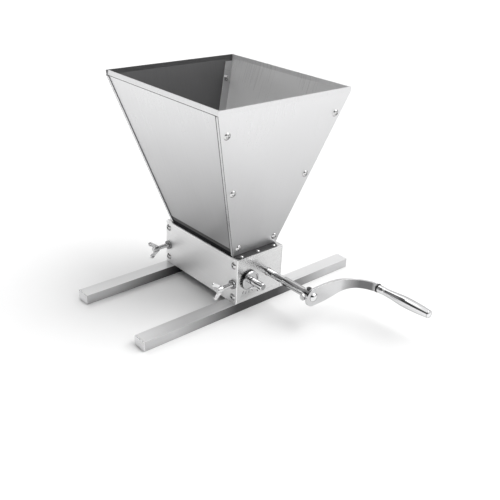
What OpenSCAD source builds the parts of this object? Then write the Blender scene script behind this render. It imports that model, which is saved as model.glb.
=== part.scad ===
// Two-roller grain mill with a sheet-metal hopper, laid across a bucket on two bars.
// Millimetres, +Z up. X runs along the rollers towards the crank, Y along the bars.
// Origin: on the plane midway between the roller axes, halfway along the rollers,
// level with the underside of the two bars.

/* [Housing] */
// Length of the housing over both end plates
housing_len = 152.4; // [140:0.2:170]
// Height of the end plates
plate_h = 63.3; // [60:0.1:70]
// Thickness of the end plates
plate_t = 12.7; // [12:0.1:14]
// Left side plate's outer face
left_y = -38; // [-42:0.1:-38]
// Right side plate's outer face
right_y = 40.3; // [39:0.1:46]
// Side plate thickness
side_t = 1.5; // [1:0.1:2]

/* [Bars] */
// Bar width along X
bar_w = 20; // [18:0.5:24]
// Bar height
bar_h = 13; // [12:0.5:16]
// Bar length over its end caps
bar_len = 356; // [320:1:400]
// Far end of the rear bar
rear_end = 160; // [150:1:178]
// Bar wall
bar_wall = 1.5; // [1.2:0.1:2]

/* [Rollers] */
// Roller diameter
roller_d = 31.75; // [31:0.05:31.8]
// Shaft diameter
shaft_d = 9.5; // [8:0.1:9.6]
// Distance of the drive roller from the middle plane
drive_y = 16.6; // [16.5:0.1:17]
// Distance of the eccentric's axis from the middle plane
idle_y = 16.55; // [16.5:0.05:17]
// Throw of the eccentric
throw = 1; // [0.6:0.1:1.1]
// Height of the drive shaft above the bars' underside
shaft_z = 43.8; // [43:0.1:45]

/* [Hopper] */
// Half of the mouth along X
mouth_x = 109.9; // [95:0.1:120]
// Half of the mouth along Y
mouth_y = 101.2; // [90:0.1:110]
// Height of the rim above the bars' underside
rim_z = 283.6; // [240:0.1:310]
// Half of the outlet along X
foot_x = 65.9; // [65.5:0.1:67]
// Half of the outlet along Y
foot_y = 35; // [34.5:0.1:35]
// Height of the upright lip round the mouth
lip_h = 6; // [4:0.5:10]
// Sheet thickness
sheet = 1.2; // [1:0.1:1.3]

/* [Crank] */
// Distance from the shaft's axis to the grip's axis
crank_r = 83.4; // [75:0.1:95]
// Outer face of the crank arm
arm_x = 159; // [150:0.5:170]
// Thickness of the crank arm
arm_t = 3; // [2.5:0.5:4]
// Radius of the arm's hub end
hub_r = 12; // [11:0.5:14]
// Outer end of the grip
grip_end = 273.4; // [260:0.2:290]

/* [Hidden] */
$fn = 64;
fit = 0.05;                         // radial clearance of a shaft in its bore
seat = 0.05;                        // radial clearance of a screw in its tapped hole
gap = 0.3;                          // distance kept between bodies that move past each other
half_len = housing_len / 2;
inner_x = half_len - plate_t;       // inner face of an end plate
bar_top = bar_h;
plate_top = bar_top + plate_h;
roller_len = 2 * inner_x - 2 * gap;
screw_x = half_len - plate_t / 2;   // screws sit in the middle of an end plate's thickness

// Fasteners
m5_r = 2.5;
m5_head_r = 4.75;
m5_head_h = 2.7;
m4_r = 2;
m3_r = 1.5;
m3_head_r = 2.8;
side_screw_len = 14;
side_screw_z = [22.2, 67];
bar_screw_y = [-15, 20];
bar_screw_len = 17;
flange_screw_y = [-27.5, 0, 27.5];
flange_screw_x = 71.8;
flange_screw_len = 6;

// Bushes of the drive shaft, let in from the inside of each end plate
bush_r = 7;
bush_len = 9.7;
shaft_hole_r = 5.5;

// Eccentric and its dial
dial_r = 13.5;
dial_t = 4.5;
journal_r = 11;
dial_face = half_len + gap + dial_t;
dial_well_r = 10.8;
dial_well = 1.4;
stub_end = 103;
scale_angles = [-122, -105, -88, -71];
scale_r = [16.5, 20];
index_angle = -54;
index_r = [24, 28];
mark_w = 0.8;
mark_d = 0.4;

// Wing bolts
wing_z = shaft_z - throw - 2.3;
wing_r = 3;
wing_tip_y = -journal_r - idle_y - gap;
wing_hub_y = -57;
wing_hub_len = 8;
collar_r = 6;
collar_t = 3;
wing_lean = 15;

// Hopper
foot_z = plate_top + sheet;
bend_z = rim_z - lip_h;
tilt_x = atan((mouth_x - foot_x) / (bend_z - foot_z));
tilt_y = atan((mouth_y - foot_y) / (bend_z - foot_z));
slope_x = (bend_z - foot_z) / cos(tilt_x);
slope_y = (bend_z - foot_z) / cos(tilt_y);
play = 0.1;                         // gap between neighbouring sheets
seam_w = 4;                         // return strip of an end panel over the side panel
lap_w = 13;                         // inner flange of a side panel behind the end panel
flange_out = 75.6;
flange_chamfer = 4;
drop_lip_z = 62;                    // lower edge of the side panels' lips inside the housing
side_rise = 4.5;                    // the side panels turn upright this far above the foot
panel_screw_v = [11.5, 99.5, 179];
panel_screw_in = 8;
nut_r = 3.5 / cos(30);
nut_t = 3;

// Crank
sleeve_r = 5.75;
sleeve_start = 107;
hub_collar_r = 7.5;
hub_collar_start = 145;
hub_screw_x = 150.3;
arm_in = arm_x - arm_t;
bend_r = 40;
arm_end = 190.5;                    // the arm stops short of a full quarter turn
grip_y = drive_y + crank_r;
bend_x = arm_x - arm_t / 2 + bend_r;
bend_y = grip_y - bend_r;
arm_tail = 5.7;                     // half width of the arm at the grip
taper_from = 0.12;                  // the arm narrows between these two parts of its length
taper_to = 0.7;
spindle_r = 3;
shoulder_t = 1.5;
ring_t = 1.5;
ferrule_len = 10.5;
ferrule_start = arm_end + shoulder_t + ring_t + gap;
grip_start = ferrule_start + ferrule_len;
neck_r = 4.1;                       // groove between the ferrule and the grip
cap_t = 2.7;
grip_stop = grip_end - cap_t - gap;

// ---- shared shapes ----

// A round bar along +X from x0 to x1.
module along_x(r, x0, x1) {
    translate([x0, 0, 0]) rotate([0, 90, 0]) cylinder(r = r, h = x1 - x0);
}

// A round bar along Y from y0 up to y1.
module along_y(r, y0, y1) {
    translate([0, y0, 0]) rotate([-90, 0, 0]) cylinder(r = r, h = y1 - y0);
}

// Places a child at the drive shaft's axis.
module at_drive() {
    translate([0, drive_y, shaft_z]) children();
}

// Places a child at the eccentrics' axis; the idler's axis stands "throw" above it.
module at_eccentric() {
    translate([0, -idle_y, shaft_z - throw]) children();
}

// Low domed screw head standing on z = 0, with a hexagon socket.
module button_head(r, h) {
    ball = (r * r + h * h) / (2 * h);
    difference() {
        intersection() {
            translate([0, 0, h - ball]) sphere(r = ball);
            cylinder(r = r, h = h);
        }
        translate([0, 0, h * 0.35]) cylinder(r = r * 0.36, h = h, $fn = 6);
    }
}

// Low domed screw head standing on z = 0, with a cross recess.
module cross_head(r, h) {
    ball = (r * r + h * h) / (2 * h);
    slot = r * 0.26;
    difference() {
        intersection() {
            translate([0, 0, h - ball]) sphere(r = ball);
            cylinder(r = r, h = h);
        }
        for (turn = [0, 90])
            rotate([0, 0, turn]) translate([-r * 0.6, -slot / 2, h * 0.5]) cube([r * 1.2, slot, h]);
    }
}

// ---- bars ----

// The bar at the +X end, reaching to y = y_end; both ends leave room for a cap.
module bar_tube(y_end) {
    start = -bar_len / 2 + bar_wall;
    length = y_end - bar_wall - start;
    difference() {
        translate([half_len - bar_w, start, 0]) cube([bar_w, length, bar_h]);
        translate([half_len - bar_w + bar_wall, start - 1, bar_wall])
            cube([bar_w - 2 * bar_wall, length + 2, bar_h - 2 * bar_wall]);
        for (y = bar_screw_y) translate([screw_x, y, 0]) {
            translate([0, 0, -1]) cylinder(r = 5.5, h = bar_wall + 2);
            cylinder(r = m5_r + 0.2, h = bar_h + 1);
        }
    }
}

module bar_front() {
    color("silver") bar_tube(bar_len / 2);
}

module bar_rear() {
    color("silver") mirror([1, 0, 0]) bar_tube(rear_end);
}

// One closing cap at y = y_end: a flush plate with a short stub inside the tube.
module bar_cap(y_end) {
    slack = 0.1;
    translate([half_len - bar_w, y_end - bar_wall, 0]) cube([bar_w, bar_wall, bar_h]);
    translate([half_len - bar_w + bar_wall + slack, y_end - 10, bar_wall + slack])
        cube([bar_w - 2 * bar_wall - 2 * slack, 9, bar_h - 2 * bar_wall - 2 * slack]);
}

module bar_caps() {
    color("gainsboro") {
        bar_cap(bar_len / 2);
        mirror([1, 0, 0]) bar_cap(rear_end);
        for (side = [0, 1]) mirror([side, 0, 0]) mirror([0, 1, 0]) bar_cap(bar_len / 2);
    }
}

// Pan-head screws inside the tubes, up into the end plates.
module bar_screws() {
    head_h = 3;
    color("dimgray")
        for (mx = [0, 1]) mirror([mx, 0, 0])
            for (y = bar_screw_y) translate([screw_x, y, bar_h - bar_wall]) {
                mirror([0, 0, 1]) button_head(4.2, head_h);
                cylinder(r = m5_r - seat, h = bar_screw_len);
            }
}

// ---- housing ----

// One mark of the gap scale, cut into the front plate's face.
module scale_mark(angle, reach) {
    at_eccentric() translate([half_len - mark_d, 0, 0]) rotate([angle, 0, 0])
        translate([0, reach[0], -mark_w / 2]) cube([1, reach[1] - reach[0], mark_w]);
}

// An end plate at the +X end, without its scale.
module end_plate() {
    y0 = left_y + side_t;
    y1 = right_y - side_t;
    difference() {
        translate([inner_x, y0, bar_top]) cube([plate_t, y1 - y0, plate_h]);
        at_drive() {
            along_x(shaft_hole_r, inner_x - 1, half_len + 1);
            along_x(bush_r, inner_x - 1, inner_x + bush_len);
        }
        at_eccentric() along_x(journal_r + fit, inner_x - 1, half_len + 1);
        translate([screw_x, 0, wing_z]) along_y(wing_r + fit, y0 - 1, -idle_y);
        for (z = side_screw_z) translate([screw_x, 0, z]) {
            along_y(m5_r, y0 - 1, y0 + side_screw_len);
            along_y(m5_r, y1 - side_screw_len, y1 + 1);
        }
        for (y = bar_screw_y) translate([screw_x, y, bar_top - 1])
            cylinder(r = m5_r, h = bar_screw_len + 1);
        for (y = flange_screw_y) translate([flange_screw_x, y, plate_top - flange_screw_len - 0.5])
            cylinder(r = m3_r, h = flange_screw_len + 2);
    }
}

module end_plate_front() {
    color("lightgray") difference() {
        end_plate();
        for (angle = scale_angles) scale_mark(angle, scale_r);
        scale_mark(index_angle, index_r);
    }
}

module end_plate_rear() {
    color("lightgray") mirror([1, 0, 0]) end_plate();
}

// A side plate from y0 to y0 + side_t, with its screw holes.
module side_plate(y0) {
    difference() {
        translate([-half_len, y0, bar_top]) cube([housing_len, side_t, plate_h]);
        for (x = [-screw_x, screw_x]) for (z = side_screw_z)
            translate([x, 0, z]) along_y(m5_r + 0.2, y0 - 1, y0 + side_t + 1);
    }
}

module side_plate_left() {
    color("whitesmoke") difference() {
        side_plate(left_y);
        for (x = [-screw_x, screw_x])
            translate([x, 0, wing_z]) along_y(wing_r + 0.4, left_y - 1, left_y + side_t + 1);
    }
}

module side_plate_right() {
    color("whitesmoke") side_plate(right_y - side_t);
}

// One button-head screw pointing along +Y, its head's underside at y = 0.
module side_screw() {
    along_y(m5_r - seat, 0, side_screw_len);
    rotate([90, 0, 0]) button_head(m5_head_r, m5_head_h);
}

module side_plate_screws() {
    color("gray")
        for (x = [-screw_x, screw_x]) for (z = side_screw_z) {
            translate([x, left_y, z]) side_screw();
            translate([x, right_y, z]) mirror([0, 1, 0]) side_screw();
        }
}

module shaft_bushes() {
    color("darkgoldenrod")
        for (side = [0, 1]) mirror([side, 0, 0]) at_drive() difference() {
            along_x(bush_r, inner_x, inner_x + bush_len);
            along_x(shaft_d / 2 + fit, inner_x - 1, inner_x + bush_len + 1);
        }
}

// ---- hopper ----

// Half width of a panel at distance v up its slope.
function half_at(v, foot, mouth, slope) = foot + (mouth - foot) * v / slope;

// Lays a flat drawing on the panel that faces +X: drawing x runs along Y, drawing y
// up the slope, its outer side at the given depth below the panel's outer face.
module on_end(depth, t) {
    translate([foot_x, 0, foot_z]) rotate([0, tilt_x, 0]) translate([-depth - t, 0, 0])
        rotate([90, 0, 90]) linear_extrude(t) children();
}

// The same for the panel that faces +Y: drawing x runs along X.
module on_side(depth, t) {
    translate([0, foot_y, foot_z]) rotate([-tilt_y, 0, 0]) translate([0, -depth, 0])
        rotate([90, 0, 0]) linear_extrude(t) children();
}

// Trapezium between v0 and v1 whose sloping edges stand "grow" outside the corner lines.
module trapezium(v0, v1, foot, mouth, slope, grow) {
    a = half_at(v0, foot, mouth, slope) + grow;
    b = half_at(v1, foot, mouth, slope) + grow;
    polygon([[-a, v0], [a, v0], [b, v1], [-b, v1]]);
}

// Strip along the right-hand corner line, from "outer" to "inner" inside it.
module edge_strip(v0, v1, foot, mouth, slope, outer, inner) {
    a = half_at(v0, foot, mouth, slope);
    b = half_at(v1, foot, mouth, slope);
    polygon([[a - inner, v0], [a - outer, v0], [b - outer, v1], [b - inner, v1]]);
}

// Round holes for the panel screws, as a drawing on an end panel.
module panel_holes(r) {
    for (s = [-1, 1]) for (v = panel_screw_v)
        translate([s * (half_at(v, foot_y, mouth_y, slope_x) - panel_screw_in), v]) circle(r);
}

module hopper_end() {
    wrap = sheet + play;
    // sloping sheet
    on_end(0, sheet) difference() {
        trapezium(-0.6, slope_x, foot_y, mouth_y, slope_x, wrap);
        panel_holes(m4_r + 0.2);
    }
    // upright lip at the mouth
    translate([mouth_x - sheet, -mouth_y - wrap, bend_z]) cube([sheet, 2 * (mouth_y + wrap), lip_h]);
    // return strips over the side panels
    for (s = [0, 1]) mirror([0, s, 0])
        on_side(-wrap, sheet)
            edge_strip(0.8, slope_y - 0.5, foot_x, mouth_x, slope_y, 0.3, seam_w);
    // foot flange on top of the end plate
    difference() {
        translate([0, 0, plate_top]) linear_extrude(sheet)
            polygon([[foot_x - sheet - 0.2, -foot_y], [foot_x + 1, -foot_y],
                     [flange_out, -foot_y + flange_chamfer], [flange_out, foot_y - flange_chamfer],
                     [foot_x + 1, foot_y], [foot_x - sheet - 0.2, foot_y]]);
        for (y = flange_screw_y) translate([flange_screw_x, y, plate_top - 1])
            cylinder(r = m3_r + 0.2, h = 5);
    }
}

module hopper_end_front() {
    color("silver") hopper_end();
}

module hopper_end_rear() {
    color("silver") mirror([1, 0, 0]) hopper_end();
}

// The panel that faces +Y; the other one is its mirror image.
module hopper_side() {
    inset = sheet / cos(tilt_x) + play;
    lip_half = inner_x - gap;
    upright_half = foot_x - seam_w - 0.6;
    side_v = side_rise / cos(tilt_y);
    lip_y = half_at(side_v, foot_y, mouth_y, slope_y) - sheet;
    on_side(0, sheet) trapezium(side_v, slope_y, foot_x, mouth_x, slope_y, -inset);
    // upright lip at the mouth
    translate([-mouth_x + sheet + play, mouth_y - sheet, bend_z])
        cube([2 * (mouth_x - sheet - play), sheet, lip_h]);
    // inner flanges behind the end panels
    for (s = [0, 1]) mirror([s, 0, 0]) on_end(sheet + play, sheet) difference() {
        edge_strip(5, slope_x - 3, foot_y, mouth_y, slope_x, 0.4, lap_w);
        panel_holes(m4_r + 0.2);
    }
    // upright foot between the seam strips
    translate([-upright_half, lip_y, plate_top - 1])
        cube([2 * upright_half, sheet, sheet + side_rise + 1.3]);
    // lip that drops into the housing beside the roller
    translate([-lip_half, lip_y, drop_lip_z]) cube([2 * lip_half, sheet, plate_top - drop_lip_z]);
}

module hopper_side_left() {
    color("gainsboro") mirror([0, 1, 0]) hopper_side();
}

module hopper_side_right() {
    color("gainsboro") hopper_side();
}

// Places children at each screw of the end panel that faces +X, z axis outwards.
module at_panel_screws() {
    for (s = [-1, 1]) for (v = panel_screw_v)
        translate([foot_x, 0, foot_z]) rotate([0, tilt_x, 0])
            translate([0, s * (half_at(v, foot_y, mouth_y, slope_x) - panel_screw_in), v])
                rotate([0, 90, 0]) children();
}

module hopper_panel_screws() {
    depth = 2 * sheet + play + nut_t + 1;
    color("gray")
        for (side = [0, 1]) mirror([side, 0, 0]) at_panel_screws() {
            cross_head(4.5, 2.4);
            translate([0, 0, -depth]) cylinder(r = m4_r - seat, h = depth + 0.1);
        }
}

module hopper_panel_nuts() {
    color("gray")
        for (side = [0, 1]) mirror([side, 0, 0]) at_panel_screws()
            translate([0, 0, -2 * sheet - play - nut_t]) difference() {
                cylinder(r = nut_r, h = nut_t, $fn = 6);
                translate([0, 0, -1]) cylinder(r = m4_r, h = nut_t + 2);
            }
}

module hopper_flange_screws() {
    color("lightgray")
        for (side = [0, 1]) mirror([side, 0, 0]) for (y = flange_screw_y)
            translate([flange_screw_x, y, foot_z]) {
                cross_head(m3_head_r, 1.9);
                translate([0, 0, -sheet - flange_screw_len])
                    cylinder(r = m3_r - seat, h = sheet + flange_screw_len + 0.1);
            }
}

// ---- rollers and eccentrics ----

// A roller with chamfered ends, its axis on X.
module roller_barrel() {
    chamfer = 0.8;
    rotate([0, 90, 0]) rotate_extrude()
        polygon([[0, -roller_len / 2], [roller_d / 2 - chamfer, -roller_len / 2],
                 [roller_d / 2, -roller_len / 2 + chamfer], [roller_d / 2, roller_len / 2 - chamfer],
                 [roller_d / 2 - chamfer, roller_len / 2], [0, roller_len / 2]]);
}

module drive_roller() {
    color("slategray") at_drive() {
        roller_barrel();
        along_x(shaft_d / 2, -half_len, arm_x);
    }
}

module idler_roller() {
    color("slategray") at_eccentric() translate([0, 0, throw]) {
        roller_barrel();
        along_x(shaft_d / 2, -dial_face, stub_end - 0.8);
        // chamfered end of the stub
        translate([stub_end - 0.8, 0, 0]) rotate([0, 90, 0])
            cylinder(r1 = shaft_d / 2, r2 = shaft_d / 2 - 0.8, h = 0.8);
    }
}

// Eccentric bush with its dial, at the +X end.
module eccentric() {
    rim_round = 1.4;
    at_eccentric() difference() {
        union() {
            along_x(journal_r, inner_x + 0.1, half_len + gap + 0.1);
            along_x(dial_r, half_len + gap, dial_face - rim_round);
            translate([dial_face - rim_round, 0, 0]) rotate([0, 90, 0])
                cylinder(r1 = dial_r, r2 = dial_r - rim_round, h = rim_round);
        }
        along_x(dial_well_r, dial_face - dial_well, dial_face + 1);
        translate([0, 0, throw]) along_x(shaft_d / 2 + fit, inner_x - 1, dial_face + 1);
        // index notch in the dial's edge
        rotate([-105, 0, 0]) translate([dial_face - 3, dial_r - 1.2, -0.6]) cube([4, 3, 1.2]);
    }
}

module eccentric_front() {
    color("lightsteelblue") eccentric();
}

module eccentric_rear() {
    color("lightsteelblue") mirror([1, 0, 0]) eccentric();
}

// ---- wing bolts ----

// Outline of one wing: x is the distance from the bolt's axis, y the way outwards.
module wing_outline() {
    polygon([[2, 0.5], [5.2, 1.2], [11.3, 10.1], [6, 12.9], [2, 7.6]]);
    translate([8.4, 11.2]) circle(3.1);
}

// A wing bolt at the +X end plate.
module wing_bolt() {
    web = 2.2;
    translate([screw_x, 0, wing_z]) {
        along_y(wing_r, wing_hub_y - 1, wing_tip_y);
        translate([0, wing_hub_y, 0]) rotate([90, 0, 0]) {
            cylinder(r1 = 4.8, r2 = 3.8, h = wing_hub_len);
            for (turn = [0, 180]) rotate([0, 0, 90 + wing_lean + turn])
                rotate([90, 0, 0]) translate([0, 0, -web / 2]) linear_extrude(web) wing_outline();
        }
    }
}

module wing_bolt_front() {
    color("silver") wing_bolt();
}

module wing_bolt_rear() {
    color("silver") translate([-2 * screw_x, 0, 0]) wing_bolt();
}

module wing_bolt_collars() {
    color("gray")
        for (x = [-screw_x, screw_x]) translate([x, 0, wing_z]) difference() {
            along_y(collar_r, left_y - collar_t, left_y);
            along_y(wing_r + 0.3, left_y - collar_t - 1, left_y + 1);
        }
}

// ---- crank ----

module crank_sleeve() {
    color("silver") at_drive() difference() {
        union() {
            along_x(sleeve_r, sleeve_start, arm_in);
            along_x(hub_collar_r, hub_collar_start, arm_in);
        }
        along_x(shaft_d / 2 + fit, sleeve_start - 1, arm_in + 1);
        translate([hub_screw_x, 0, 0]) {
            along_y(m4_r, -20, 0);
            cylinder(r = m4_r, h = 20);
        }
    }
}

// Half width of the arm, t running from 0 at the hub to 1 at the grip.
function arm_half(t) = let (u = min(1, max(0, (t - taper_from) / (taper_to - taper_from))))
    arm_tail + (hub_r - arm_tail) * (1 + cos(180 * u)) / 2;

// The arm from above: straight from the hub, then bent towards +X.
module arm_plan() {
    translate([arm_in, drive_y]) square([arm_t, bend_y - drive_y]);
    intersection() {
        translate([bend_x, bend_y]) difference() {
            circle(bend_r + arm_t / 2, $fn = 128);
            circle(bend_r - arm_t / 2, $fn = 128);
        }
        translate([arm_in, bend_y]) square([arm_end - arm_in, bend_r + arm_t]);
    }
}

module crank_arm() {
    steps = 24;
    start = (arm_x + drive_y) / sqrt(2);
    stop = (arm_end + grip_y) / sqrt(2) + 2;
    side = [for (i = [0 : steps]) [start + (stop - start) * i / steps, arm_half(i / steps)]];
    back = [for (i = [steps : -1 : 0]) [side[i][0], -side[i][1]]];
    color("lightgray") difference() {
        union() {
            at_drive() along_x(hub_r, arm_in, arm_x);
            intersection() {
                translate([0, 0, shaft_z - hub_r]) linear_extrude(2 * hub_r) arm_plan();
                // the taper, drawn along the diagonal that the bent arm follows
                translate([0, 0, shaft_z]) rotate([0, 0, 45]) rotate([90, 0, 0])
                    translate([0, 0, -200]) linear_extrude(400) polygon(concat(side, back));
            }
        }
        at_drive() along_x(shaft_d / 2 + fit, arm_in - 1, arm_x + 1);
    }
}

// Knurled thumb screw across the hub collar, pointing at the shaft.
module crank_thumb_screw() {
    color("silver") translate([hub_screw_x, drive_y, shaft_z]) {
        along_y(m4_r - seat, -hub_collar_r - 1, -shaft_d / 2 - gap);
        along_y(4, -hub_collar_r - gap - 4.5, -hub_collar_r - gap);
    }
}

module crank_set_screw() {
    color("black") translate([hub_screw_x, drive_y, shaft_z]) {
        translate([0, 0, shaft_d / 2]) cylinder(r = m4_r - seat, h = hub_collar_r - shaft_d / 2 + 0.1);
        translate([0, 0, hub_collar_r]) difference() {
            cylinder(r = 3, h = 2);
            translate([0, 0, 0.8]) cylinder(r = 1.4, h = 2, $fn = 6);
        }
    }
}

module crank_end_screw() {
    color("silver") at_drive() translate([arm_x, 0, 0]) rotate([0, 90, 0]) {
        ball = 7;
        rise = 3.6;
        intersection() {
            translate([0, 0, rise - ball]) sphere(r = ball);
            cylinder(r = 5.8, h = rise);
        }
    }
}

// Places a child on the grip's axis.
module at_grip() {
    translate([0, grip_y, shaft_z]) children();
}

module grip_spindle() {
    color("gray") at_grip() {
        along_x(4.8, arm_end, arm_end + shoulder_t);
        along_x(spindle_r, arm_end, grip_end - cap_t);
    }
}

module grip_ring() {
    color("black") at_grip() difference() {
        along_x(5.9, arm_end + shoulder_t, arm_end + shoulder_t + ring_t);
        along_x(spindle_r + fit, arm_end, arm_end + 10);
    }
}

module grip_ferrule() {
    r = 5.1;
    color("silver") at_grip() translate([ferrule_start, 0, 0]) rotate([0, 90, 0]) rotate_extrude()
        polygon([[spindle_r + fit, 0], [r - 0.5, 0], [r, 0.5], [r, ferrule_len - 1.6],
                 [neck_r, ferrule_len - 0.8], [neck_r, ferrule_len], [spindle_r + fit, ferrule_len]]);
}

// Radius of the grip, t running from 0 at the ferrule to 1 at its outer end.
function grip_r(t) = t < 0.5
    ? 4.9 + 2 * (1 - cos(360 * t)) / 2
    : 6.9 - 1.8 * (1 - cos(90 * (t - 0.5) / 0.5));

module grip_body() {
    steps = 24;
    len = grip_stop - grip_start;
    neck_len = 0.8;
    skin = [for (i = [0 : steps]) [grip_r(i / steps), neck_len + (len - neck_len) * i / steps]];
    color("silver") at_grip() translate([grip_start, 0, 0]) rotate([0, 90, 0]) rotate_extrude()
        polygon(concat([[spindle_r + fit, len], [spindle_r + fit, 0], [neck_r, 0], [neck_r, neck_len]],
                       skin));
}

module grip_end_cap() {
    r = 4.9;
    ball = (r * r + cap_t * cap_t) / (2 * cap_t) + 1.5;
    color("silver") at_grip() translate([grip_end - cap_t, 0, 0]) rotate([0, 90, 0])
        intersection() {
            translate([0, 0, cap_t - ball]) sphere(r = ball);
            cylinder(r = r, h = cap_t);
        }
}

bar_front();
bar_rear();
bar_caps();
bar_screws();
end_plate_front();
end_plate_rear();
side_plate_left();
side_plate_right();
side_plate_screws();
shaft_bushes();
hopper_end_front();
hopper_end_rear();
hopper_side_left();
hopper_side_right();
hopper_panel_screws();
hopper_panel_nuts();
hopper_flange_screws();
drive_roller();
idler_roller();
eccentric_front();
eccentric_rear();
wing_bolt_front();
wing_bolt_rear();
wing_bolt_collars();
crank_sleeve();
crank_arm();
crank_thumb_screw();
crank_set_screw();
crank_end_screw();
grip_spindle();
grip_ring();
grip_ferrule();
grip_body();
grip_end_cap();
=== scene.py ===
"""Looks of the two-roller grain mill: finishes on the CAD nodes, and a few pieces made in finer detail."""
import math
import bmesh
import bpy
from mathutils import Matrix, Vector


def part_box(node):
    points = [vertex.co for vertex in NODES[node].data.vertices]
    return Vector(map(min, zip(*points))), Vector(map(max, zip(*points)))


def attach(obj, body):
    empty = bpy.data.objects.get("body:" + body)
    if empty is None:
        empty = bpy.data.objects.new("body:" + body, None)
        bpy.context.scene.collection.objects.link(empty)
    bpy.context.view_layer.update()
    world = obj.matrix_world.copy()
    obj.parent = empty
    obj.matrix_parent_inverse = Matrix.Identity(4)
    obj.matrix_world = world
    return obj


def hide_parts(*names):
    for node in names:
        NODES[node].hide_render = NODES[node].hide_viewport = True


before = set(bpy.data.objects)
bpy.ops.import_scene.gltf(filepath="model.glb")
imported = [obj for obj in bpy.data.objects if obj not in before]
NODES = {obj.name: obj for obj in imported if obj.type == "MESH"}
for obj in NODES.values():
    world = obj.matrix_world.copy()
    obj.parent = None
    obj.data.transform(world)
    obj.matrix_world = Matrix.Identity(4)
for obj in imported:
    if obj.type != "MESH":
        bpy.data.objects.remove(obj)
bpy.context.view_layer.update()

MM = 0.001

# ---- places read from the CAD ----

def centre(node):
    low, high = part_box(node)
    return (low + high) / 2


DRIVE = centre("drive_roller")
IDLER = centre("idler_roller")
DIAL = centre("eccentric_front")
PLATE_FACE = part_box("end_plate_front")[1].x
PLATE_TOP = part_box("end_plate_front")[1].z

# Lines of the hopper's panels, as they leave the CAD: the corner at the foot and at the bend of the rim.
FOOT_X = 65.9 * MM
MOUTH_X = 109.9 * MM
FOOT_Y = 35.0 * MM
MOUTH_Y = 101.2 * MM
FOOT_Z = 77.5 * MM
BEND_Z = 277.6 * MM
SEAM_W = 4.0 * MM               # width of the strips that the end panels fold over the side panels

# Painted shade lines beside the strips and under the rim, and dark lines at the corners.
SEAM_SHADE_W = 3.0 * MM         # at the crank end, where the strip hides part of it
FAR_SEAM_SHADE_W = 1.2 * MM          # at the far end
CORNER_JOINT_W = 0.9 * MM
RIM_SHADE_W = 0.9 * MM

# Heights up to which the hopper's painted dark flanges, painted black shade at the foot and painted grey
# shade band reach, and to which its panels' painted grey shade fades.
FLANGE_TOP = PLATE_TOP + 1.9 * MM
PAINTED_GAP_SHADE_TOP = PLATE_TOP + 5.6 * MM
PAINTED_BAND_TOP = PLATE_TOP + 11.6 * MM
PAINTED_FOOT_SHADE_TOP = PLATE_TOP + 200 * MM

# Y at which the painted dark reflection on the crank arm's face starts, and where it is darkest.
ARM_SHADE_FROM = DRIVE.y + 50.0 * MM
ARM_SHADE_FULL = DRIVE.y + 72.0 * MM

# The painted dark reflection on the bars' sides is darkest up to the first distance from their middle, and
# lightest from the second.
BAR_SHADE_FULL = 35 * MM
BAR_SHADE_END = 135 * MM

# The engraved scale round the gap dial: its rings and its depths behind the plate's face.
SCALE_R = (15.8 * MM, 28.4 * MM)
SCALE_DEPTH = (0.2 * MM, 0.6 * MM)

# Strength of each mask, from 0 to 1.
PAINTED_FOOT_SHADE = 0.42                # painted shade on the hopper panels at their foot, fading out upwards
END_PANEL_PAINTED_SHADE = 0.8           # painted dark reflection on the end panels' inner faces and flanges, and their dark corner lines
PAINTED_BAND_SHADE = 0.86               # painted grey shade band over the painted black shade at the foot
SEAM_AND_RIM_PAINTED_SHADE = 0.85              # painted shade lines on the side panels, beside the strips and under the rim
INSIDE_PAINTED_LIGHT = 0.8              # painted light: inner faces of the side panels made milky pale
PLATE_SATIN = 0.3               # side plates
ARM_PAINTED_SHADE = 0.75                # painted dark reflection on the crank arm past its bend
BAR_MIDDLE_SHADE = 0.9          # painted dark reflection on the bars' sides round their middle
BAR_END_SHADE = 0.32            # and towards their ends
BAR_TOP_PAINTED_LIGHT = 0.4             # painted light: bars' upper faces made milky pale
SHAFT_END_SHADE = 0.6           # flat ends of the shafts

# Limits of outward(): below the first on inner faces, above the second on the strips of the end panels.
INNER_FACE = -0.01
ON_STRIP = 20 * MM

SHAFT_R = 7 * MM                # faces nearer the axis than this belong to a roller's shaft
BARREL_R = 14.5 * MM            # faces further out than this belong to its knurled barrel


# ---- node-graph helper ----

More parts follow.
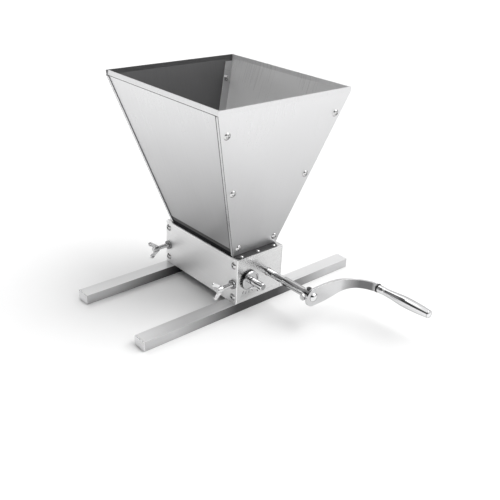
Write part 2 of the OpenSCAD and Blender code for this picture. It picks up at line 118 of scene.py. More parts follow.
class Paint:
    """One procedural material. Numbers are set on sockets, sockets are linked."""

    def __init__(self, name):
        self.mat = bpy.data.materials.new(name)
        self.mat.use_nodes = True
        self.tree = self.mat.node_tree
        self.bsdf = self.tree.nodes["Principled BSDF"]
        self.place = self.node("ShaderNodeTexCoord").outputs["Object"]

    def node(self, kind, **settings):
        made = self.tree.nodes.new(kind)
        for key, value in settings.items():
            setattr(made, key, value)
        return made

    def put(self, socket, value):
        if isinstance(value, bpy.types.NodeSocket):
            self.tree.links.new(value, socket)
        elif isinstance(value, (tuple, list)) and len(value) == 3 and len(socket.default_value) == 4:
            socket.default_value = (*value, 1.0)
        else:
            socket.default_value = value

    def math(self, operation, a, b=0.0):
        made = self.node("ShaderNodeMath", operation=operation)
        self.put(made.inputs[0], a)
        self.put(made.inputs[1], b)
        return made.outputs[0]

    def both(self, a, b):
        """Product of two masks."""
        return self.math("MULTIPLY", a, b)

    def either(self, a, b):
        """The stronger of two masks."""
        return self.math("MAXIMUM", a, b)

    def between(self, value, low, high):
        """1 between two values, 0 outside them."""
        return self.both(self.math("GREATER_THAN", value, low), self.math("LESS_THAN", value, high))

    def spread(self, value, low, high, to_low, to_high):
        """A value mapped from one range to another, and held at its ends."""
        made = self.node("ShaderNodeMapRange")
        for socket, number in zip(made.inputs[:5], (value, low, high, to_low, to_high)):
            self.put(socket, number)
        return made.outputs[0]

    def mix(self, factor, a, b):
        """Colour a where the factor is 0, b where it is 1."""
        made = self.node("ShaderNodeMix", data_type="RGBA")
        self.put(made.inputs[0], factor)
        self.put(made.inputs[6], a)
        self.put(made.inputs[7], b)
        return made.outputs[2]

    def axis(self, letter):
        """The place on the part along one axis, in metres."""
        made = self.node("ShaderNodeSeparateXYZ")
        self.put(made.inputs[0], self.place)
        return made.outputs[letter]

    def facing(self, letter):
        """How far the surface faces along one axis, from -1 to 1."""
        made = self.node("ShaderNodeSeparateXYZ")
        self.put(made.inputs[0], self.node("ShaderNodeNewGeometry").outputs["Normal"])
        return made.outputs[letter]

    def outward(self, letter):
        """Positive where the surface faces away from the part's middle plane along one axis."""
        return self.math("MULTIPLY", self.facing(letter), self.axis(letter))

    def radius(self, at):
        """Distance from the line along X through the point "at"."""
        y = self.math("SUBTRACT", self.axis("Y"), at.y)
        z = self.math("SUBTRACT", self.axis("Z"), at.z)
        return self.math("SQRT", self.math("ADD", self.math("MULTIPLY", y, y), self.math("MULTIPLY", z, z)))

    def noise(self, per_metre, detail=3.0, seed=0.0):
        """Noise from 0 to 1; per_metre is one number, or one along each axis."""
        scale = per_metre if isinstance(per_metre, tuple) else (per_metre,) * 3
        mapping = self.node("ShaderNodeMapping")
        self.put(mapping.inputs["Vector"], self.place)
        self.put(mapping.inputs["Scale"], Vector(scale))
        self.put(mapping.inputs["Location"], Vector((seed, seed * 1.7, seed * 0.6)))
        made = self.node("ShaderNodeTexNoise")
        self.put(made.inputs["Vector"], mapping.outputs[0])
        self.put(made.inputs["Scale"], 1.0)
        self.put(made.inputs["Detail"], detail)
        return made.outputs[0]

    def edge(self):
        """1 on sharp outer edges, 0 elsewhere."""
        made = self.node("ShaderNodeNewGeometry")
        return self.spread(made.outputs["Pointiness"], 0.52, 0.6, 0.0, 1.0)

    def glancing(self, start, full):
        """0 where the surface is seen square on, rising to 1 at a glancing angle."""
        made = self.node("ShaderNodeLayerWeight")
        self.put(made.inputs["Blend"], 0.5)
        return self.spread(made.outputs["Facing"], start, full, 0.0, 1.0)

    def bump(self, height, strength, distance, flat=False, edge_r=0.0):
        """Surface relief; flat keeps each face as flat as it is made, edge_r rounds its edges in shading."""
        made = self.node("ShaderNodeBump")
        self.put(made.inputs["Strength"], strength)
        self.put(made.inputs["Distance"], distance)
        self.put(made.inputs["Height"], height)
        under = self.node("ShaderNodeNewGeometry").outputs["True Normal"] if flat else None
        if edge_r:
            rounding = self.node("ShaderNodeBevel", samples=8)
            self.put(rounding.inputs["Radius"], edge_r)
            if flat:
                self.put(rounding.inputs["Normal"], under)
            under = rounding.outputs[0]
        if under:
            self.put(made.inputs["Normal"], under)
        self.put(self.bsdf.inputs["Normal"], made.outputs[0])

    def finish(self, colour, roughness, metallic):
        self.put(self.bsdf.inputs["Base Color"], colour)
        self.put(self.bsdf.inputs["Roughness"], roughness)
        self.put(self.bsdf.inputs["Metallic"], metallic)
        return self.mat


# ---- finishes ----

SHADE_AND_MARK_BLACK = (0.012, 0.012, 0.013)   # near black that painted shade and painted dark reflections turn to, and engraved marks and shaft ends
GROOVE = 0.02 * MM                  # depth of brush marks, scratches and turned rings

FINE = 1700.0                       # brush marks per metre across the grain
LONG = 9.0                          # and along it
GRAIN = {
    "x": (LONG, FINE, FINE), "y": (FINE, LONG, FINE),
    "up_x": (LONG, FINE, LONG), "up_y": (FINE, LONG, LONG),
}

TURNED_RINGS = 2200.0               # per metre of radius
KNURLS_ROUND = 62.0                 # diamonds round a roller
KNURLS_ALONG = 560.0                # diamonds per metre of its length
KNURL_DEPTH = 0.35 * MM


def shade(tone, times):
    """A tone made darker or lighter, never past white."""
    return tuple(min(1.0, c * times) for c in tone)


def brushed(name, tone, rough, grain, depth=0.15, dark=None, edge_r=0.0, pale=None, milk=0.93, contrast=1.0):
    """Brushed steel. dark(paint) and pale(paint) return masks from 0 to 1: near black for painted shade and
    reflection and for engraved marks, milky pale for satin and painted light.
    """
    p = Paint(name)
    streak = p.noise(grain, 1.5)
    cloud = p.noise(14.0, 3.0, 5.0)
    low = shade(tone, 1.0 - 0.10 * contrast)
    high = shade(tone, 1.0 + 0.05 * contrast)
    colour = p.mix(p.spread(streak, 0.3, 0.7, 0.0, 1.0), low, high)
    colour = p.mix(p.spread(cloud, 0.35, 0.75, 0.0, 0.35), colour, shade(tone, 0.82))
    colour = p.mix(p.edge(), colour, shade(tone, 1.2))
    sway = 0.06 * contrast
    roughness = p.math("ADD", p.spread(streak, 0.25, 0.75, rough - sway, rough + sway),
                       p.spread(cloud, 0.3, 0.7, -0.03, 0.05))
    metallic = 1.0
    if dark:
        mask = dark(p)
        colour = p.mix(mask, colour, SHADE_AND_MARK_BLACK)
        roughness = p.math("ADD", roughness, p.math("MULTIPLY", mask, 0.25))
    if pale:
        milky = pale(p)
        colour = p.mix(milky, colour, (milk, milk, milk))
        metallic = p.math("SUBTRACT", 1.0, milky)
    p.bump(streak, depth, GROOVE, flat=True, edge_r=edge_r)
    return p.finish(colour, roughness, metallic)


def polished(name, tone, rough, rim, edge_r=0.0, dark=None):
    """Bright plated or polished metal with fine scratches; rim gives the glancing angles, from and to, of a
    painted dark reflection.
    """
    p = Paint(name)
    mark = p.noise(60.0, 5.0, 2.0)
    scratch = p.noise((900.0, 300.0, 900.0), 6.0, 8.0)
    colour = p.mix(p.spread(mark, 0.4, 0.75, 0.0, 0.6), tone, shade(tone, 0.84))
    colour = p.mix(p.edge(), colour, shade(tone, 1.15))
    # Painted reflection: near black at glancing angles, standing for dark surroundings.
    colour = p.mix(p.math("MULTIPLY", p.glancing(*rim), 0.92), colour, SHADE_AND_MARK_BLACK)
    if dark:
        colour = p.mix(dark(p), colour, SHADE_AND_MARK_BLACK)
    roughness = p.math("ADD", p.spread(mark, 0.3, 0.7, rough, rough + 0.09),
                       p.spread(scratch, 0.5, 0.8, 0.0, 0.05))
    p.bump(scratch, 0.12, GROOVE, edge_r=edge_r)
    return p.finish(colour, roughness, 1.0)


def turned(name, tone, rough, at, flank_painted_shade=0.0):
    """Lathe-turned face: fine rings round the point "at" in the YZ plane, with painted shade of the given
    strength on its flank and rim.
    """
    p = Paint(name)
    ring = p.math("SINE", p.math("MULTIPLY", p.radius(at), 2 * math.pi * TURNED_RINGS))
    grit = p.noise(900.0, 3.0)
    cut = p.math("ADD", p.spread(ring, -1.0, 1.0, 0.0, 0.6), p.math("MULTIPLY", grit, 0.4))
    colour = p.mix(p.spread(grit, 0.3, 0.7, 0.0, 1.0), shade(tone, 0.9), tone)
    colour = p.mix(p.edge(), colour, shade(tone, 1.2))
    # Painted shade: faces not looking out along X, such as the flank, darken towards near black.
    colour = p.mix(p.spread(p.outward("X"), 0.0, 40 * MM, flank_painted_shade, 0.0), colour, SHADE_AND_MARK_BLACK)
    p.bump(cut, 0.2, GROOVE)
    return p.finish(colour, p.spread(cut, 0.2, 0.8, rough - 0.05, rough + 0.08), 1.0)


def knurled(name, tone, rough, at):
    """Diamond knurl round an axis along X through the point "at"."""
    p = Paint(name)
    y = p.math("SUBTRACT", p.axis("Y"), at.y)
    z = p.math("SUBTRACT", p.axis("Z"), at.z)
    turns = p.math("MULTIPLY", p.math("ARCTAN2", z, y), KNURLS_ROUND)
    run = p.math("MULTIPLY", p.axis("X"), 2 * math.pi * KNURLS_ALONG)
    left = p.math("ABSOLUTE", p.math("SINE", p.math("MULTIPLY", p.math("ADD", turns, run), 0.5)))
    right = p.math("ABSOLUTE", p.math("SINE", p.math("MULTIPLY", p.math("SUBTRACT", turns, run), 0.5)))
    diamond = p.math("MINIMUM", left, right)
    height = p.both(diamond, p.math("GREATER_THAN", p.radius(at), BARREL_R))
    grime = p.noise(120.0, 4.0, 3.0)
    # Painted shade: the knurl's valleys are darker than its peaks.
    colour = p.mix(p.spread(height, 0.0, 0.8, 0.0, 1.0), shade(tone, 0.45), tone)
    colour = p.mix(p.spread(grime, 0.45, 0.7, 0.0, 0.5), colour, shade(tone, 0.6))
    p.bump(height, 0.8, KNURL_DEPTH)
    return p.finish(colour, p.spread(grime, 0.3, 0.7, rough, rough + 0.15), 1.0)


def rubbery(name, tone, rough):
    """Dull black with a fine grain."""
    p = Paint(name)
    grain = p.noise(1800.0, 3.0)
    dust = p.noise(90.0, 4.0, 4.0)
    dusty = tuple(c * 2.2 + 0.01 for c in tone)
    colour = p.mix(p.spread(dust, 0.4, 0.7, 0.0, 1.0), tone, dusty)
    p.bump(grain, 0.3, 0.03 * MM)
    return p.finish(colour, p.spread(dust, 0.3, 0.7, rough, rough + 0.2), 0.0)


# ---- masks: where a finish is darker or paler ----

def below(p, height, fade):
    """1 below a height, 0 above it."""
    return p.spread(p.axis("Z"), height - fade, height + fade, 1.0, 0.0)


def painted_foot_shade(p):
    """Painted shade: a greyer tone that fades out up the hopper's panels."""
    return p.spread(p.axis("Z"), PLATE_TOP, PAINTED_FOOT_SHADE_TOP, PAINTED_FOOT_SHADE, 0.0)


def corner_line(p, foot, mouth):
    """Where the hopper's corner lies at this height, along X or Y."""
    part = p.math("DIVIDE", p.math("SUBTRACT", p.axis("Z"), FOOT_Z), BEND_Z - FOOT_Z)
    return p.math("ADD", p.math("MULTIPLY", part, mouth - foot), foot)


def corner_inset(p):
    """Distance inwards along X from the hopper's corner."""
    return p.math("SUBTRACT", corner_line(p, FOOT_X, MOUTH_X), p.math("ABSOLUTE", p.axis("X")))


def under_bend(p):
    """1 on the sloping part of the panels, under the rim."""
    return p.math("LESS_THAN", p.axis("Z"), BEND_Z)


def end_panel_painted_shade(p):
    """Painted dark reflection on an end panel's inner face and foot flange, fine dark corners, and painted
    shade on its lower part.
    """
    # Painted reflection: the inner face and the foot flange are painted dark for the dark surroundings they
    # would reflect.
    within = p.math("LESS_THAN", p.math("ABSOLUTE", p.axis("Y")), corner_line(p, FOOT_Y, MOUTH_Y))
    inward = p.both(within, p.math("LESS_THAN", p.outward("X"), INNER_FACE))
    flange = below(p, FLANGE_TOP, fade=0.2 * MM)
    on_strip = p.both(under_bend(p), p.math("GREATER_THAN", p.outward("Y"), ON_STRIP))
    corner = p.both(on_strip, p.between(corner_inset(p), -CORNER_JOINT_W, CORNER_JOINT_W))
    lines = p.either(p.either(inward, flange), corner)
    off_strip = p.math("LESS_THAN", p.math("ABSOLUTE", p.facing("Y")), 0.5)
    return p.either(p.math("MULTIPLY", lines, END_PANEL_PAINTED_SHADE), p.both(painted_foot_shade(p), off_strip))


def side_panel_painted_shade(p):
    """Painted shade: black at the foot for the shaded gap, a dark grey band over it, and fine dark lines by
    the end panels' strips and under the rim.
    """
    # Painted shade: fine dark lines beside the end panels' strips and under the rim.
    seam_end = p.spread(p.axis("X"), -MM, MM, SEAM_W + FAR_SEAM_SHADE_W, SEAM_W + SEAM_SHADE_W)
    painted_seam_shade = p.both(p.between(corner_inset(p), SEAM_W, seam_end), under_bend(p))
    rim = p.between(p.axis("Z"), BEND_Z - RIM_SHADE_W, BEND_Z)
    painted_joint_shade = p.both(p.either(painted_seam_shade, rim), p.math("GREATER_THAN", p.outward("Y"), 0.0))
    # Painted shade: black for the shaded gap at the foot, and a dark grey band over it.
    painted_gap_shade = below(p, PAINTED_GAP_SHADE_TOP, fade=0.1 * MM)
    band = p.math("MULTIPLY", below(p, PAINTED_BAND_TOP, fade=0.4 * MM), PAINTED_BAND_SHADE)
    foot = p.either(painted_gap_shade, band)
    return p.either(p.either(foot, p.math("MULTIPLY", painted_joint_shade, SEAM_AND_RIM_PAINTED_SHADE)), painted_foot_shade(p))


def side_panel_inside_painted_light(p):
    """Painted light: the inner faces of the side panels, made milky pale instead of bright."""
    return p.math("MULTIPLY", p.math("LESS_THAN", p.outward("Y"), INNER_FACE), INSIDE_PAINTED_LIGHT)


def plate_satin(p):
    """A side plate, a little satin all over."""
    return PLATE_SATIN


def arm_painted_shade(p):
    """Painted dark reflection on the outer face of the crank arm, past its bend."""
    return p.both(p.spread(p.outward("X"), 30 * MM, 60 * MM, 0.0, 1.0),
                  p.spread(p.axis("Y"), ARM_SHADE_FROM, ARM_SHADE_FULL, 0.0, ARM_PAINTED_SHADE))


def bar_side_painted_shade(p):
    """Painted dark reflection on the upright sides of the bars: duller, and darkest round the middle."""
    upright = p.math("GREATER_THAN", p.math("ABSOLUTE", p.facing("X")), 0.7)
    along = p.math("ABSOLUTE", p.axis("Y"))
    return p.both(upright, p.spread(along, BAR_SHADE_FULL, BAR_SHADE_END, BAR_MIDDLE_SHADE, BAR_END_SHADE))


def bar_top_painted_light(p):
    """Painted light: the upper faces of the bars, made milky pale instead of bright."""
    return p.math("MULTIPLY", p.math("GREATER_THAN", p.facing("Z"), 0.7), BAR_TOP_PAINTED_LIGHT)


def shaft_end_shade(p):
    """The flat ends of the shafts, greyer than their bright sides."""
    end = p.math("GREATER_THAN", p.math("ABSOLUTE", p.facing("X")), 0.95)
    return p.math("MULTIPLY", end, SHAFT_END_SHADE)


def engraving(p):
    """The floors of the engraved scale round the gap dial."""
    deep = p.between(p.axis("X"), PLATE_FACE - SCALE_DEPTH[1], PLATE_FACE - SCALE_DEPTH[0])
    return p.both(deep, p.between(p.radius(DIAL), *SCALE_R))


# ---- the paints ----

STAINLESS = (0.58, 0.58, 0.585)
# The plates' tones offset the light on the sides they face: painted paler on the shaded side plate, painted
# darker on the sunlit one and on the end plates.
SIDE_PLATE = (0.96, 0.96, 0.96)
SUN_SIDE_PLATE_DARKENED = (0.56, 0.56, 0.56)      # the side plate that faces the sun, painted darker to offset its light
END_PLATE = (0.54, 0.54, 0.54)
TUBE = (0.68, 0.68, 0.685)
SCREW = (0.66, 0.66, 0.66)
COLLAR = (0.34, 0.34, 0.345)
BRIGHT = (0.80, 0.80, 0.805)
WORN = (0.66, 0.66, 0.665)
ARM = (0.56, 0.56, 0.565)
DIAL_TONE = (0.58, 0.58, 0.585)
BRONZE = (0.42, 0.27, 0.12)
ROLLER = (0.45, 0.455, 0.47)
RUBBER = (0.012, 0.012, 0.012)
OXIDE = (0.04, 0.04, 0.043)

# Glancing angles, from and to, over which the polished paints are painted near black: a painted dark
# reflection.
SCREW_RIM = (0.3, 0.8)
BRIGHT_RIM = (0.45, 0.85)
WORN_RIM = (0.62, 0.95)


def side_plate_paint(name, tone, milk):
    """Satin finish of a side plate; milk is the tone of its satin share."""
    return brushed(name, tone, rough=0.42, grain=GRAIN["x"], depth=0.03, pale=plate_satin, milk=milk,
                   contrast=0.4)


hopper_end_paint = brushed("hopper_end_steel", STAINLESS, rough=0.30, grain=GRAIN["up_x"],
                           dark=end_panel_painted_shade)
hopper_side_paint = brushed("hopper_side_steel", STAINLESS, rough=0.30, grain=GRAIN["up_y"],
                            dark=side_panel_painted_shade, pale=side_panel_inside_painted_light)
bar_paint = brushed("bar_steel_brushed", TUBE, rough=0.34, grain=GRAIN["y"],
                    dark=bar_side_painted_shade, pale=bar_top_painted_light, milk=0.62)
plate_paint = side_plate_paint("plate_steel_satin", SIDE_PLATE, milk=0.93)
sun_side_plate_paint = side_plate_paint("sun_side_plate_darkened_satin", SUN_SIDE_PLATE_DARKENED, milk=0.45)
end_plate_paint = brushed("end_plate_steel_satin", END_PLATE, rough=0.24, grain=GRAIN["y"], depth=0.08,
                          dark=engraving, edge_r=0.4 * MM)
screw_paint = polished("screw_steel", SCREW, rough=0.16, rim=SCREW_RIM)
collar_paint = polished("collar_steel", COLLAR, rough=0.2, rim=SCREW_RIM)
bright_paint = polished("bright_plating", BRIGHT, rough=0.05, rim=BRIGHT_RIM)
shaft_paint = polished("shaft_bright_steel", BRIGHT, rough=0.05, rim=BRIGHT_RIM, dark=shaft_end_shade)
arm_paint = polished("arm_plating", ARM, rough=0.15, rim=WORN_RIM, edge_r=0.5 * MM, dark=arm_painted_shade)
worn_paint = polished("worn_plating", WORN, rough=0.14, rim=WORN_RIM)
dial_paint = turned("dial_turned_steel", DIAL_TONE, rough=0.2, at=DIAL, flank_painted_shade=0.92)
bush_paint = turned("bush_bronze_turned", BRONZE, rough=0.4, at=DRIVE)
roller_paint = knurled("drive_roller_knurl", ROLLER, rough=0.28, at=DRIVE)
idler_paint = knurled("idler_roller_knurl", ROLLER, rough=0.28, at=IDLER)
black_paint = rubbery("black_ring_rubber", RUBBER, rough=0.5)
oxide_paint = rubbery("black_oxide", OXIDE, rough=0.35)

PAINTS = {
    "bar_front": bar_paint, "bar_rear": bar_paint, "bar_caps": worn_paint, "bar_screws": screw_paint,
    "end_plate_front": end_plate_paint, "end_plate_rear": end_plate_paint,
    "side_plate_left": plate_paint, "side_plate_right": sun_side_plate_paint,
    "side_plate_screws": screw_paint, "shaft_bushes": bush_paint,
    "hopper_end_front": hopper_end_paint, "hopper_end_rear": hopper_end_paint,
    "hopper_side_left": hopper_side_paint, "hopper_side_right": hopper_side_paint,
    "hopper_panel_screws": screw_paint, "hopper_panel_nuts": screw_paint,
    "hopper_flange_screws": screw_paint,
    "drive_roller": roller_paint, "idler_roller": idler_paint,
    "eccentric_front": dial_paint, "eccentric_rear": dial_paint,
    "wing_bolt_collars": collar_paint,
    "crank_sleeve": bright_paint, "crank_arm": arm_paint, "crank_set_screw": oxide_paint,
    "crank_end_screw": bright_paint, "grip_spindle": bright_paint, "grip_ring": black_paint,
    "grip_ferrule": bright_paint, "grip_body": bright_paint, "grip_end_cap": bright_paint,
}


# ---- finishes put on the CAD nodes ----

# Width of the rounded edge on each carried-over node, in millimetres.
ROUNDED = {
    "bar_front": 0.9, "bar_rear": 0.9, "bar_caps": 0.4,
    "side_plate_left": 0.3, "side_plate_right": 0.3,
    "hopper_end_front": 0.3, "hopper_end_rear": 0.3, "hopper_side_left": 0.3, "hopper_side_right": 0.3,
    "crank_sleeve": 0.4, "eccentric_front": 0.4, "eccentric_rear": 0.4,
}
SLIGHT = 0.15
SHARP = ("end_plate_front", "end_plate_rear", "crank_arm")      # rounded in shading only
FLAT = ("bar_front", "bar_rear", "bar_caps", "side_plate_left", "side_plate_right",
        "hopper_end_front", "hopper_end_rear", "hopper_side_left", "hopper_side_right")


def soften(obj, width, flat_faces):
    """Welds the split corners, rounds the sharp edges a little and shades them evenly."""
    weld = obj.modifiers.new("weld", "WELD")
    weld.merge_threshold = 0.002 * MM
    if flat_faces:
        flat = obj.modifiers.new("flat", "DECIMATE")
        flat.decimate_type = "DISSOLVE"
        flat.angle_limit = math.radians(0.3)
    bevel = obj.modifiers.new("bevel", "BEVEL")
    bevel.width = width * MM
    bevel.segments = 3
    bevel.limit_method = "ANGLE"
    bevel.angle_limit = math.radians(35)
    bevel.harden_normals = True
    bevel.use_clamp_overlap = True


def paint(obj, material):
    obj.data.materials.clear()
    obj.data.materials.append(material)


def bright_shaft(node, axis):
    """Gives a roller's shaft its own paint: faces are told apart by their distance from the axis."""
    mesh = NODES[node].data
    mesh.materials.append(shaft_paint)
    for face in mesh.polygons:
        away = math.hypot(face.center.y - axis.y, face.center.z - axis.z)
        face.material_index = 1 if away < SHAFT_R else 0


for node, material in PAINTS.items():
    paint(NODES[node], material)
    if node not in SHARP:
        soften(NODES[node], ROUNDED.get(node, SLIGHT), node in FLAT)
bright_shaft("drive_roller", DRIVE)
bright_shaft("idler_roller", IDLER)


# ---- pieces made in finer detail, in millimetres ----

def new_piece(name, verts, faces, material):
    mesh = bpy.data.meshes.new(name)
    mesh.from_pydata([Vector(v) * MM for v in verts], [], faces)
    mesh.update()
    obj = bpy.data.objects.new(name, mesh)
    bpy.context.scene.collection.objects.link(obj)
    paint(obj, material)
    for face in mesh.polygons:
        face.use_smooth = True
    return obj


def tidy_normals(obj):
    """Turns every closed shell's faces outwards and keeps its edges crisp."""
    work = bmesh.new()
    work.from_mesh(obj.data)
    bmesh.ops.recalc_face_normals(work, faces=work.faces)
    work.to_mesh(obj.data)
    work.free()
    split = obj.modifiers.new("flat_faces", "EDGE_SPLIT")
    split.split_angle = math.radians(40)


def rings_to_mesh(rings):
    """Joins rings of equal length into a skin, closed at both ends."""
    count = len(rings[0])
    verts = [point for ring in rings for point in ring]
    faces = []
    for i in range(len(rings) - 1):
        for k in range(count):
            j = (k + 1) % count
            faces.append((i * count + k, i * count + j, (i + 1) * count + j, (i + 1) * count + k))
    last = (len(rings) - 1) * count
    faces.append(tuple(range(count - 1, -1, -1)))
    faces.append(tuple(range(last, last + count)))
    return verts, faces


def joined(shells, x, z):
    """Several shells as one mesh, moved along X and Z."""
    verts = []
    faces = []
    for shell_verts, shell_faces in shells:
        first = len(verts)
        verts += [(vx + x, vy, vz + z) for vx, vy, vz in shell_verts]
        faces += [tuple(i + first for i in face) for face in shell_faces]
    return verts, faces


ROD_R = 2.97
ROD_PITCH = 1.0
ROD_GROOVE = 0.55               # depth of the thread
WING_REACH = 14.3               # from the tips of the wings to the hub's foot
WING_LEAN = math.radians(15)
# Radius of the hub and distance from its foot; then, for each skin of a wing, its place across the wing and
# how far its outline is grown.
HUB_PROFILE = ((4.3, 0.0), (4.75, 0.5), (4.7, 2.0), (4.2, 5.0), (3.75, 7.2), (3.3, 7.9), (1.8, 8.0))
WING_SKINS = ((-1.1, -0.45), (-0.75, 0.0), (0.75, 0.0), (1.1, -0.45))


def threaded_rod(start, stop, sides=28, steps_per_turn=7):
    """Threaded rod round the Y axis, from start to stop."""
    steps = int(abs(stop - start) / ROD_PITCH * steps_per_turn)
    rings = []
    for i in range(steps + 1):
        y = start + (stop - start) * i / steps
        ring = []
        for k in range(sides):
            turn = 2 * math.pi * k / sides
            phase = (y / ROD_PITCH + k / sides) % 1.0
            r = ROD_R - ROD_GROOVE * abs(2 * phase - 1)
            ring.append((r * math.cos(turn), y, r * math.sin(turn)))
        rings.append(ring)
    return rings_to_mesh(rings)


def wing_hub(foot_y, sides=32):
    """The hub of a wing bolt, from its foot outwards."""
    rings = []
    for r, out in HUB_PROFILE:
        turns = [2 * math.pi * k / sides for k in range(sides)]
        rings.append([(r * math.cos(turn), foot_y - out, r * math.sin(turn)) for turn in turns])
    return rings_to_mesh(rings)


def wing_outline(steps=10):
    """One wing from the hub outwards: x away from the axis, y away from the plate."""
    points = [(2.2, 1.0), (5.2, 1.5)]
    centre_x, centre_y, r = 8.6, 11.2, 2.9
    from_angle, sweep = -48, 190
    for i in range(steps + 1):
        turn = math.radians(from_angle + sweep * i / steps)
        points.append((centre_x + r * math.cos(turn), centre_y + r * math.sin(turn)))
    points += [(4.4, 8.2), (2.2, 7.4)]
    return points


def grown(outline, by):
    """An outline moved outwards from its middle."""
    middle_x = sum(x for x, y in outline) / len(outline)
    middle_y = sum(y for x, y in outline) / len(outline)
    moved = []
    for x, y in outline:
        away = math.hypot(x - middle_x, y - middle_y)
        moved.append((x + (x - middle_x) / away * by, y + (y - middle_y) / away * by))
    return moved


def wing(way, foot_y):
    """One wing, on the side that way gives (1 or -1), leaning a little."""
    skins = []
    for across, growth in WING_SKINS:
        skin = []
        for reach, out in grown(wing_outline(), growth):
            skin.append((across * math.cos(WING_LEAN) - reach * way * math.sin(WING_LEAN), foot_y - out,
                         across * math.sin(WING_LEAN) + reach * way * math.cos(WING_LEAN)))
        skins.append(skin)
    return rings_to_mesh(skins)


def wing_bolt(name, node):
    """A cast wing bolt with a threaded shank, standing for the CAD one."""
    low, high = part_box(node)
    x = (low.x + high.x) / 2 / MM
    z = (low.z + high.z) / 2 / MM
    foot_y = low.y / MM + WING_REACH
    rod = threaded_rod(high.y / MM, foot_y - 1)
    verts, faces = joined([rod, wing_hub(foot_y), wing(1, foot_y), wing(-1, foot_y)], x, z)
    obj = new_piece(name, verts, faces, worn_paint)
    tidy_normals(obj)
    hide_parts(node)
    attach(obj, node)


THUMB_TEETH = 22
THUMB_R = 3.9
THUMB_CUT = 0.28                # depth of the straight knurling


def thumb_screw():
    """The crank's thumb screw: a shank and a head with straight knurling."""
    low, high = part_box("crank_thumb_screw")
    x = (low.x + high.x) / 2 / MM
    z = (low.z + high.z) / 2 / MM
    tip = high.y / MM
    top = low.y / MM
    # Radius and place along the screw, from the tip of the shank to the top of the head.
    profile = ((1.9, tip), (1.9, top + 4.5), (3.2, top + 4.5), (THUMB_R, top + 4.0), (THUMB_R, top + 0.6),
               (3.3, top), (1.2, top + 0.15))
    sides = THUMB_TEETH * 4
    rings = []
    for r, y in profile:
        cut = THUMB_CUT if r == THUMB_R else 0.0
        ring = []
        for k in range(sides):
            turn = 2 * math.pi * k / sides
            notched = r - cut * (k % 4 in (1, 2))
            ring.append((notched * math.cos(turn) + x, y, notched * math.sin(turn) + z))
        rings.append(ring)
    verts, faces = rings_to_mesh(rings)
    obj = new_piece("thumb_screw_knurled", verts, faces, screw_paint)
    tidy_normals(obj)
    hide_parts("crank_thumb_screw")
    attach(obj, "thumb_screw")


wing_bolt("wing_bolt_front_cast", "wing_bolt_front")
wing_bolt("wing_bolt_rear_cast", "wing_bolt_rear")
thumb_screw()


# ---- room, light and camera ----

FLOOR_HALF = 40000.0            # millimetres
FLOOR_Z = -0.4

# Brightness of the world by height of the direction: all round, and on the -Y side with its dark panel.
PALE_SKY = ((0.0, 0.97), (0.13, 0.92), (0.20, 0.55), (0.34, 0.90), (1.0, 1.0))
PANEL_SKY = ((0.0, 0.97), (0.14, 0.92), (0.20, 0.03), (0.66, 0.03), (0.74, 1.0))

CAMERA_AZIMUTH = math.radians(47.3)
CAMERA_ELEVATION = math.radians(26.87)
CAMERA_ROLL = math.radians(2.94)
CAMERA_DISTANCE = 895.0 * MM
CAMERA_TARGET = Vector((54.0, 2.7, 70.6)) * MM
CAMERA_LENS = 49.4


def floor():
    p = Paint("pale_floor")
    cloud = p.noise(3.0, 4.0)
    colour = p.mix(p.spread(cloud, 0.3, 0.7, 0.0, 1.0), (0.90, 0.90, 0.90), (0.93, 0.93, 0.93))
    p.finish(colour, p.spread(cloud, 0.3, 0.7, 0.55, 0.65), 0.0)
    ways = ((-1, -1), (1, -1), (1, 1), (-1, 1))
    corners = [(x * FLOOR_HALF, y * FLOOR_HALF, FLOOR_Z) for x, y in ways]
    obj = new_piece("floor", corners, [(0, 1, 2, 3)], p.mat)


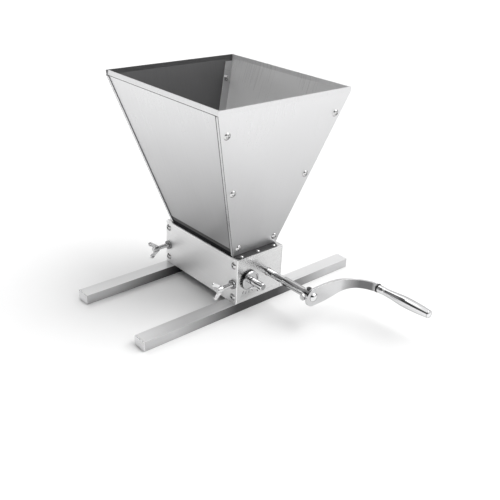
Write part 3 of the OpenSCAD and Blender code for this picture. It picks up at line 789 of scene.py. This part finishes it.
def sky():
    """Pale world with a dark panel high on the -Y side, so that bright metal shows bands."""
    world = bpy.data.worlds.new("soft_studio")
    bpy.context.scene.world = world
    world.use_nodes = True
    nodes = world.node_tree.nodes
    links = world.node_tree.links
    place = nodes.new("ShaderNodeTexCoord")
    split = nodes.new("ShaderNodeSeparateXYZ")
    links.new(place.outputs["Generated"], split.inputs[0])

    def ramp(stops):
        made = nodes.new("ShaderNodeValToRGB")
        made.color_ramp.interpolation = "EASE"
        links.new(split.outputs["Z"], made.inputs[0])
        elements = made.color_ramp.elements
        elements[0].position, elements[1].position = stops[0][0], stops[-1][0]
        for height, grey in stops[1:-1]:
            elements.new(height)
        for element, (height, grey) in zip(elements, stops):
            element.color = (grey, grey, grey, 1.0)
        return made.outputs[0]

    side = nodes.new("ShaderNodeMapRange")
    links.new(split.outputs["Y"], side.inputs[0])
    side.inputs["From Min"].default_value = 0.05
    side.inputs["From Max"].default_value = -0.10
    both = nodes.new("ShaderNodeMix")
    both.data_type = "RGBA"
    links.new(side.outputs[0], both.inputs[0])
    links.new(ramp(PALE_SKY), both.inputs[6])
    links.new(ramp(PANEL_SKY), both.inputs[7])
    links.new(both.outputs[2], nodes["Background"].inputs["Color"])


def soft_sun(name, direction, strength, spread):
    """A large soft lamp far off in the given direction; spread is its angle in degrees."""
    lamp = bpy.data.lights.new(name, "SUN")
    lamp.energy = strength
    lamp.angle = math.radians(spread)
    obj = bpy.data.objects.new(name, lamp)
    bpy.context.scene.collection.objects.link(obj)
    obj.rotation_mode = "QUATERNION"
    obj.rotation_quaternion = Vector(direction).to_track_quat("Z", "Y")


def studio():
    floor()
    sky()
    soft_sun("overhead", (0.30, 0.45, 0.84), strength=1.65, spread=50)
    soft_sun("sparkle", (-0.55, -0.1, 0.83), strength=0.4, spread=28)
    bpy.context.scene.view_settings.view_transform = "Standard"


def camera():
    """Looks down from the front right, as in the photograph."""
    flat = math.cos(CAMERA_ELEVATION)
    back = Vector((math.sin(CAMERA_AZIMUTH) * flat, -math.cos(CAMERA_AZIMUTH) * flat,
                   math.sin(CAMERA_ELEVATION)))
    level = Vector((math.cos(CAMERA_AZIMUTH), math.sin(CAMERA_AZIMUTH), 0.0))
    upright = back.cross(level)
    right = level * math.cos(CAMERA_ROLL) + upright * math.sin(CAMERA_ROLL)
    up = upright * math.cos(CAMERA_ROLL) - level * math.sin(CAMERA_ROLL)
    data = bpy.data.cameras.new("camera")
    data.sensor_width = 36.0
    data.lens = CAMERA_LENS
    obj = bpy.data.objects.new("camera", data)
    bpy.context.scene.collection.objects.link(obj)
    turn = Matrix((right, up, back)).transposed().to_4x4()
    obj.matrix_world = Matrix.Translation(CAMERA_TARGET + back * CAMERA_DISTANCE) @ turn
    bpy.context.scene.camera = obj


studio()
camera()
